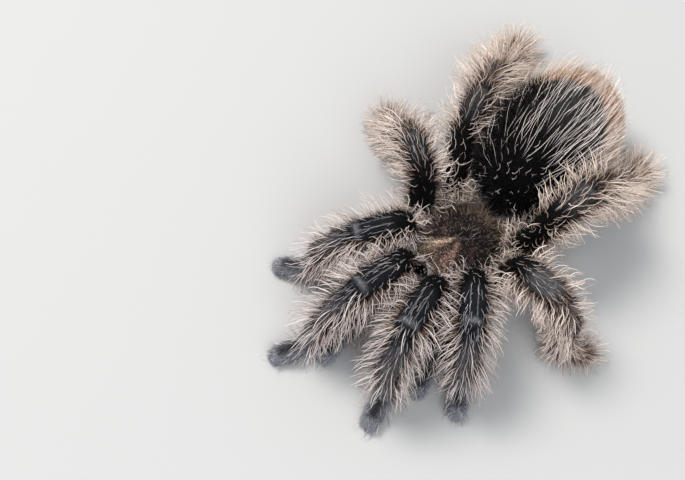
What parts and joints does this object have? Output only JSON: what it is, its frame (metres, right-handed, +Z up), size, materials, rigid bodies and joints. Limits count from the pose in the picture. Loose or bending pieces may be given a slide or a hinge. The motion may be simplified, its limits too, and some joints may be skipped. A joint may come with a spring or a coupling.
{
  "type": "curly-hair tarantula",
  "caption": "Life-size still model of an adult curly-hair tarantula, crouched with its legs drawn in, black and grey under long cream hairs.",
  "frame": {"origin": "on the floor, under the middle of the outline seen from above", "axes": "+X to the animal's left, +Y to its rear (it faces -Y), +Z up"},
  "size_m": [0.076, 0.1046, 0.0294],
  "materials": {
    "black_velvet": "matte short velvet",
    "dark_shield": "satin, with two bald pale stripes",
    "cream_fringe": "matte long curly hair",
    "grey_pad": "matte short dense hair",
    "bronze_velvet": "matte short velvet",
    "fang": "gloss black horn",
    "eyes": "gloss dark amber"
  },
  "bodies": {
    "root": {"carapace": "bronze_velvet", "eye_tubercle": "eyes", "sternum_and_coxae": "black_velvet", "abdomen": "black_velvet", "pedicel": "black_velvet", "left_chelicera": "bronze_velvet", "left_fang": "fang", "left_spinneret": "black_velvet", "left_palp_femur": "black_velvet", "left_palp_patella": "dark_shield", "left_palp_tibia": "cream_fringe", "left_palp_tarsus": "grey_pad", "right_chelicera": "bronze_velvet", "right_fang": "fang", "right_spinneret": "black_velvet", "right_palp_femur": "black_velvet", "right_palp_patella": "dark_shield", "right_palp_tibia": "cream_fringe", "right_palp_tarsus": "grey_pad", "left_leg_1_femur": "black_velvet", "left_leg_1_patella": "dark_shield", "left_leg_1_tibia": "cream_fringe", "left_leg_1_metatarsus": "cream_fringe", "left_leg_1_tarsus": "grey_pad", "left_leg_2_femur": "black_velvet", "left_leg_2_patella": "dark_shield", "left_leg_2_tibia": "cream_fringe", "left_leg_2_metatarsus": "cream_fringe", "left_leg_2_tarsus": "grey_pad", "left_leg_3_femur": "black_velvet", "left_leg_3_patella": "dark_shield", "left_leg_3_tibia": "cream_fringe", "left_leg_3_metatarsus": "cream_fringe", "left_leg_3_tarsus": "grey_pad", "left_leg_4_femur": "black_velvet", "left_leg_4_patella": "dark_shield", "left_leg_4_tibia": "cream_fringe", "left_leg_4_metatarsus": "cream_fringe", "left_leg_4_tarsus": "grey_pad", "right_leg_1_femur": "black_velvet", "right_leg_1_patella": "dark_shield", "right_leg_1_tibia": "cream_fringe", "right_leg_1_metatarsus": "cream_fringe", "right_leg_1_tarsus": "grey_pad", "right_leg_2_femur": "black_velvet", "right_leg_2_patella": "dark_shield", "right_leg_2_tibia": "cream_fringe", "right_leg_2_metatarsus": "cream_fringe", "right_leg_2_tarsus": "grey_pad", "right_leg_3_femur": "black_velvet", "right_leg_3_patella": "dark_shield", "right_leg_3_tibia": "cream_fringe", "right_leg_3_metatarsus": "cream_fringe", "right_leg_3_tarsus": "grey_pad", "right_leg_4_femur": "black_velvet", "right_leg_4_patella": "dark_shield", "right_leg_4_tibia": "cream_fringe", "right_leg_4_metatarsus": "cream_fringe", "right_leg_4_tarsus": "grey_pad"}
  },
  "joints": []
}
